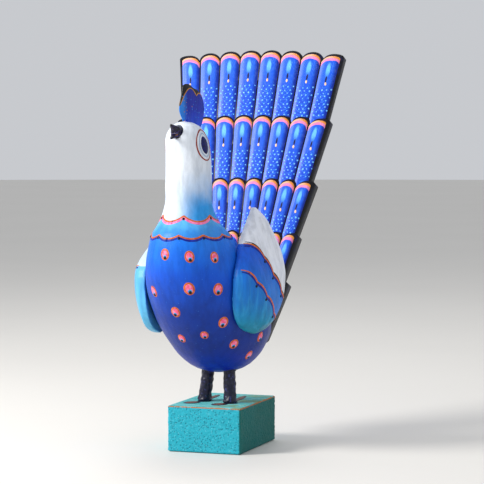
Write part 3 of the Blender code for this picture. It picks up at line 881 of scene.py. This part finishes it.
def crest_leaf():
    mesh = refined("crest", BIRD, *MESHES["crest"])
    set_attribute(mesh, "tip", [vertex.co.z - crest_tip(vertex.co.y) for vertex in mesh.vertices])
    skin = Skin(mesh)
    obj = link("painted_crest", mesh, BIRD, crest_paint(), "crest")
    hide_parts("crest")
    gold, blue = Marks(), Marks()
    scatter = random.Random(11)
    for side in (1, -1):
        stretch = []
        for back in np.arange(*CREST_LINE_BACKS):
            height = crest_tip(back)
            at = skin.outer(side, back, height)
            if at and height > CREST_TIP_LOWEST:
                stretch.append(at)
        gold.line(stretch, 0.0008, 0.00025)
        for k in range(CREST_SPECKS):
            back, height = scatter.uniform(*CREST_SPECK_BACKS), scatter.uniform(*CREST_SPECK_HEIGHTS)
            at = skin.outer(side, back, height)
            if at:
                marks = blue if k % 4 else gold
                marks.dot(skin, at, scatter.uniform(*CREST_SPECK_SIZES), SPECK_RELIEF, 0.0, 8)
    gold.piece("crest_gold", "crest", "crest_paint")
    blue.piece("crest_blue", "crest", "crest_paint")


def beak_piece():
    mesh = refined("beak", BIRD, *MESHES["beak"])
    skin = Skin(mesh)
    front = min(vertex.co.y for vertex in mesh.vertices)
    obj = link("painted_beak", mesh, BIRD, beak_paint(), "figure")
    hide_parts("beak")
    low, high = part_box("beak")
    gold = Marks()
    for side in (1, -1):
        route = []
        for share in np.linspace(*BEAK_LINE_SPAN):
            back = front + (1 - share) * BEAK_LINE_REACH
            height = (low.z + high.z) / 2 - BEAK_LINE_DROP + BEAK_LINE_RISE * (1 - share)
            at = skin.seen((side * FAR, back, height), (-side, 0, 0))
            if at:
                route.append(at)
        if len(route) > 2:
            gold.line(route, 0.0008, 0.0002)
    gold.piece("beak_gold", "figure", "beak_paint")


def legs_and_block():
    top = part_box("base_block")[1].z
    body_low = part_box("body")[0]
    material = leg_paint()
    for name, _ in SIDES:
        mesh = refined(f"{name}_leg", BIRD, *MESHES["leg"])
        carve(mesh, *CUTS["leg"], lambda place: float(top + 0.0015 < place.z < body_low.z + 0.002))
        obj = link(f"painted_{name}_leg", mesh, BIRD, material, "figure")
        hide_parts(f"{name}_leg")
    mesh = refined("base_block", BLOCK, *MESHES["block"])

    def pitted(place):
        low_edge = min(1.0, max(0.0, (place.z - 0.001) / 0.001))
        return low_edge if place.z < top - 0.0015 else 0.3 * low_edge

    carve(mesh, *CUTS["block"], pitted)
    skin = Skin(mesh)
    obj = link("painted_block", mesh, BLOCK, block_paint(), "figure")
    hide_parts("base_block")
    painted_feet(skin)


def painted_feet(skin):
    """Long toes painted flat on the block, dark with a brown middle."""
    outline, fill = Marks(), Marks()
    for start, end, half in TOES:
        middle = Vector(((start[0] + end[0]) / 2, (start[1] + end[1]) / 2, FAR))
        along = Vector((end[0] - start[0], end[1] - start[1], 0))
        at = skin.seen(middle, (0, 0, -1))
        outline.oval(skin, at, along, half, along.length / 2, 0.00012, 0.00005, 28, 3)
        fill.oval(skin, at, along, half * 0.6, along.length * 0.38, 0.00012, 0.00018, 24, 3)
    for marks, name in ((outline, "foot_outline"), (fill, "foot_fill")):
        marks.piece(name, "figure", "base_paint", BLOCK, mark_paint(name, 0.5))


def row_frame(index):
    """(tip height, half width there, waist height, half width there) of a row."""
    top, half_top, waist_half = FAN_ROWS[index]
    last = index == len(FAN_ROWS) - 1
    waist = FAN_BOTTOM if last else FAN_ROWS[index + 1][0] - FAN_NOTCH
    return top, half_top, waist, waist_half


def slab_faces(index):
    """How deep the front and the back of a row's slab lie."""
    depth = len(FAN_ROWS) - 1 - index
    return FAN_FRONT_STEP * depth, FAN_THICKNESS - FAN_BACK_STEP * depth - FEATHER_BACK_RELIEF


def row_half_width(index, height):
    top, half_top, waist, waist_half = row_frame(index)
    return half_top + (waist_half - half_top) * (top - height) / (top - waist)


def tip_fall(across, half_top, width):
    """How far a row's edge falls below its highest tip at a place across it."""
    feather = min(FAN_FEATHERS - 1, int((half_top - across) / width))
    middle = half_top - (feather + 0.5) * width
    share = min(1.0, abs(across - middle) / (width / 2))
    fall = FAN_CORNER if abs(across) > half_top - width / 2 else FAN_ROUND
    return FAN_SAG * (middle / FAN_ROWS[0][1]) ** 2 + fall * (1 - math.sqrt(1 - share * share))


def row_outline(index):
    """Outline of a row's slab: foot, waist and round feather tips."""
    top, half_top, waist, waist_half = row_frame(index)
    if index == len(FAN_ROWS) - 1:
        foot, foot_half = FAN_BOTTOM - FAN_HEEL_DROP, FAN_HEEL_HALF_WIDTH
    else:
        foot = FAN_ROWS[index + 1][0] - FAN_ROUND - FAN_SAG - FAN_OVERLAP
        foot_half = waist_half - FAN_NOTCH / 2
    outline = [(-waist_half, waist), (-foot_half, foot), (foot_half, foot), (waist_half, waist)]
    width = 2 * half_top / FAN_FEATHERS
    for feather in range(FAN_FEATHERS):
        middle = half_top - (feather + 0.5) * width
        for step in range(15):
            if step == 14 and feather < FAN_FEATHERS - 1:
                continue
            across = middle + width / 2 * INSIDE * math.cos(math.pi * step / 14)
            outline.append((across, top - tip_fall(across, half_top, width)))
    return outline


def inset(outline, amount):
    """The outline moved inwards along its own normals."""
    moved = []
    count = len(outline)
    for i, (across, along) in enumerate(outline):
        before, after = Vector(outline[i - 1]), Vector(outline[(i + 1) % count])
        run = (after - before).normalized()
        moved.append((across - run.y * amount, along + run.x * amount))
    return moved


def fan_plank():
    """The plank: five slabs with eased edges, and the tongue."""
    marks = Marks()
    for index in range(len(FAN_ROWS)):
        front, back = slab_faces(index)
        outline = row_outline(index)
        eased = inset(outline, FAN_EDGE)
        layers = ((eased, front), (outline, front + FAN_EDGE), (outline, back - FAN_EDGE), (eased, back))
        marks.close([[Vector((across, deep, along)) for across, along in shape] for shape, deep in layers])
    place = Matrix.Translation((0, 0, TONGUE["rise"])) @ Matrix.Rotation(TONGUE["slope"] + FAN_LEAN, 4, "X")
    half, thick = TONGUE["width"] / 2, TONGUE["thickness"] / 2
    loops = []
    neck = TONGUE["reach"] - TONGUE_TIP["length"]
    for reach, ease in ((TONGUE_ROOT, 0.0), (-neck, 0.0), (-TONGUE["reach"], TONGUE_TIP["ease"])):
        x, z = half - ease, thick - ease
        loops.append([place @ Vector((u, reach, w)) for u, w in ((-x, -z), (x, -z), (x, z), (-x, z))])
    marks.close(loops)
    obj = marks.piece("fan_plank", "tail", "fan_paint", FAN, plank_paint())
    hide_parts("tail_fan")


def feather(bm, layers, index, number, facing, room):
    """One carved feather on a row's slab: a closed shell with its own coordinates in centimetres."""
    uv, edge = layers
    top, half_top, _, _ = row_frame(index)
    width = 2 * half_top / FAN_FEATHERS
    front, back = slab_faces(index)
    slab, relief = (front, FEATHER_RELIEF) if facing < 0 else (back, FEATHER_BACK_RELIEF)
    last = index == len(FAN_ROWS) - 1
    foot = FAN_BOTTOM + 0.001 if last else FAN_ROWS[index + 1][0] - FAN_ROUND - FAN_SAG * 0.6
    middle_share = -1 + (2 * number + 1) / FAN_FEATHERS
    left_rim = FEATHER_SIDE_RIM if number == 0 else FEATHER_GROOVE
    right_rim = FEATHER_SIDE_RIM if number == FAN_FEATHERS - 1 else FEATHER_GROOVE
    faces = {}
    for row in range(FEATHER_STEPS + 1):
        share = (row / FEATHER_STEPS) ** FEATHER_CROWDING
        for column in range(FEATHER_COLUMNS + 1):
            u = math.sin((column / FEATHER_COLUMNS - 0.5) * math.pi)
            at_tip = middle_share * half_top + u * width / 2
            tip = top - FEATHER_RIM - tip_fall(at_tip * INSIDE, half_top, width)
            height = tip + (foot - tip) * share
            half = row_half_width(index, height)
            left = half * (middle_share - 1 / FAN_FEATHERS) + left_rim
            right = half * (middle_share + 1 / FAN_FEATHERS) - right_rim
            across = (left + right) / 2 + u * (right - left) / 2
            down = (tip - height) / CM
            nose = math.sqrt(min(1.0, down / FEATHER_NOSE_CM))
            crown = (1 - abs(u) ** FEATHER_SQUARENESS) * nose * (1 - FEATHER_TAPER * share)
            rise = min(relief * crown, room(across, slab, height) if facing < 0 else relief)
            top_vertex = bm.verts.new((across, slab + facing * max(rise, 0.00005), height))
            base_vertex = bm.verts.new((across, slab - facing * 0.0002, height))
            top_vertex[edge] = base_vertex[edge] = u
            faces[row, column] = (top_vertex, base_vertex, (u * width / 2 / CM, down))
    for row in range(FEATHER_STEPS):
        for column in range(FEATHER_COLUMNS):
            ring = [faces[row + i, column + j] for i, j in ((0, 0), (0, 1), (1, 1), (1, 0))]
            for layer in (0, 1):
                face = bm.faces.new([corner[layer] for corner in ring])
                for loop, corner in zip(face.loops, ring):
                    loop[uv].uv = corner[2]
    border = [faces[0, c] for c in range(FEATHER_COLUMNS)]
    border += [faces[r, FEATHER_COLUMNS] for r in range(FEATHER_STEPS)]
    border += [faces[FEATHER_STEPS, c] for c in range(FEATHER_COLUMNS, 0, -1)]
    border += [faces[r, 0] for r in range(FEATHER_STEPS, 0, -1)]
    for one, two in zip(border, border[1:] + border[:1]):
        face = bm.faces.new((one[0], two[0], two[1], one[1]))
        for loop, corner in zip(face.loops, (one, two, two, one)):
            loop[uv].uv = corner[2]


def fan_feathers(body_tree):
    """Both faces of the fan, row by row, with the dots of the front face."""
    front_paint = feather_paint()
    back_paint = feather_back_paint()
    peach, pale = Marks(), Marks()
    scatter = random.Random(7)

    def room(across, slab, height):
        """How thick a feather may be here before it meets the rump."""
        start = FAN @ Vector((across, slab, height))
        ahead = FAN.to_3x3() @ Vector((0, -1, 0))
        _, _, _, distance = body_tree.ray_cast(start, ahead, 0.01)
        return 1.0 if distance is None else distance - 0.0002

    for index in range(len(FAN_ROWS)):
        for facing, paint, word in ((-1, front_paint, "front"), (1, back_paint, "back")):
            bm = bmesh.new()
            layers = (bm.loops.layers.uv.new("feather"), bm.verts.layers.float.new("edge"))
            for number in range(FAN_FEATHERS):
                feather(bm, layers, index, number, facing, room)
            bmesh.ops.recalc_face_normals(bm, faces=bm.faces)
            mesh = mesh_from(bm, "feathers")
            if facing < 0:
                feather_dots(Skin(mesh), index, peach, pale, scatter)
            link(f"feathers_{word}_{index + 1}", mesh, FAN, paint, "tail")
    peach.piece("feather_peach", "tail", "fan_paint", FAN)
    pale.piece("feather_dots", "tail", "fan_paint", FAN)


def feather_dots(skin, index, peach, pale, scatter):
    """A peach drop on each feather and a staggered field of pale dots below it."""
    top, half_top, waist, _ = row_frame(index)
    for number in range(FAN_FEATHERS):
        share = -1 + (2 * number + 1) / FAN_FEATHERS
        tip = top - FEATHER_RIM - FAN_SAG * (share * half_top / FAN_ROWS[0][1]) ** 2
        drop = tip - DROP_FALL
        at = skin.seen((share * row_half_width(index, drop), -0.05, drop), (0, 1, 0))
        if at and drop > waist + DROP_ROOM:
            peach.oval(skin, at, (0, 0, 1), *DROP_SIZE, DROP_RELIEF, 0.0, 12, 2)
        height = drop - DOTS_FALL
        line = 0
        while height > waist + 0.001:
            half = row_half_width(index, height) / FAN_FEATHERS * DOTS_SPREAD
            for k in range(4 - line % 2):
                spread = (k - (3 - line % 2) / 2) / 1.5
                across = share * row_half_width(index, height) + spread * half
                across += scatter.uniform(*DOTS_STRAY)
                at = skin.seen((across, -0.05, height + scatter.uniform(*DOTS_STRAY)), (0, 1, 0))
                if at:
                    pale.dot(skin, at, scatter.uniform(*DOTS_SIZES), SPECK_RELIEF, 0.0, 8)
            height -= DOTS_STEP
            line += 1


def camera():
    data = bpy.data.cameras.new("camera")
    data.lens = CAMERA_LENS
    data.sensor_width = 36.0
    obj = placed("camera", data)
    toward = Vector((math.sin(CAMERA_AZIMUTH), -math.cos(CAMERA_AZIMUTH), 0))
    right = Vector((math.cos(CAMERA_AZIMUTH), math.sin(CAMERA_AZIMUTH), 0))
    obj.location = toward * CAMERA_DISTANCE + Vector((0, 0, CAMERA_HEIGHT))
    aim = right * CAMERA_AIM_RIGHT + Vector((0, 0, CAMERA_AIM_HEIGHT))
    obj.rotation_euler = (aim - obj.location).to_track_quat("-Z", "Y").to_euler()
    bpy.context.scene.camera = obj


def area_light(name, azimuth, elevation, distance, size, power, colour):
    """A soft light that faces the figure; azimuth 0 is straight in front of the block."""
    data = bpy.data.lights.new(name, "AREA")
    data.shape = "DISK"
    data.size = size
    data.energy = power
    data.color = colour
    obj = placed(name, data)
    turn, rise = math.radians(azimuth), math.radians(elevation)
    aim = Vector((0, 0, 0.15))
    level = Vector((math.sin(turn), -math.cos(turn), 0)) * math.cos(rise)
    obj.location = aim + distance * (level + Vector((0, 0, math.sin(rise))))
    obj.rotation_euler = (aim - obj.location).to_track_quat("-Z", "Y").to_euler()


def stage():
    graph = Graph("floor", 0.7, 0.0, BLOCK)
    tone = graph.mix(graph.noise(3.0, 3.0), (0.74, 0.72, 0.68), (0.78, 0.76, 0.72))
    material = graph.finish(tone, graph.noise(60.0, 2.0), 0.0002)
    bm = bmesh.new()
    bmesh.ops.create_circle(bm, cap_ends=True, segments=96, radius=8.0)
    mesh = mesh_from(bm, "floor")
    mesh.materials.append(material)
    floor = placed("floor", mesh)
    floor.location.z = -0.0002
    world = bpy.data.worlds.new("studio")
    world.use_nodes = True
    background = world.node_tree.nodes["Background"]
    background.inputs["Color"].default_value = (0.8, 0.82, 0.86, 1)
    background.inputs["Strength"].default_value = 0.72
    bpy.context.scene.world = world
    bpy.context.scene.view_settings.view_transform = "Standard"
    area_light("key", -50, 30, 1.1, 0.4, 13.0, (1.0, 0.98, 0.95))
    area_light("fill", 78, 20, 1.6, 0.9, 2.0, (0.85, 0.91, 1.0))
    area_light("top", 200, 60, 1.4, 0.8, 4.5, (1.0, 1.0, 1.0))


camera()
stage()

NAVY = mark_paint("line_navy")
BLACK = mark_paint("line_black")
ORANGE = mark_paint("line_orange")
WING_PAINT = wing_paint()

body_skin = body_with_collars()
orange_lines = Marks()
black_dots = Marks()
collar_lines(body_skin, orange_lines, black_dots)
body_spots(body_skin, orange_lines, black_dots)
for wing_name, wing_side in SIDES:
    painted_wing(wing_name, wing_side, orange_lines, black_dots)
orange_lines.piece("orange_lines", "figure", "body_paint", material=ORANGE)
black_dots.piece("black_dots", "figure", "body_paint", material=BLACK)

eye_ring, eye_pupil, eye_halo = Marks(), Marks(), Marks()
for _, eye_side in SIDES:
    eye(body_skin, eye_side, eye_ring, eye_pupil, eye_halo)
for eye_marks, eye_name in ((eye_ring, "eye_ring"), (eye_halo, "eye_halo"), (eye_pupil, "eye_pupil")):
    eye_marks.piece(eye_name, "figure", "body_paint")

crest_leaf()
beak_piece()
legs_and_block()
fan_plank()
cad_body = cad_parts["body"].data
fan_feathers(BVHTree.FromPolygons([v.co for v in cad_body.vertices], [p.vertices for p in cad_body.polygons]))

peg_material = peg_paint()
for node_name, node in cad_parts.items():
    if node_name.endswith("_peg"):
        node.data.materials.clear()
        node.data.materials.append(peg_material)
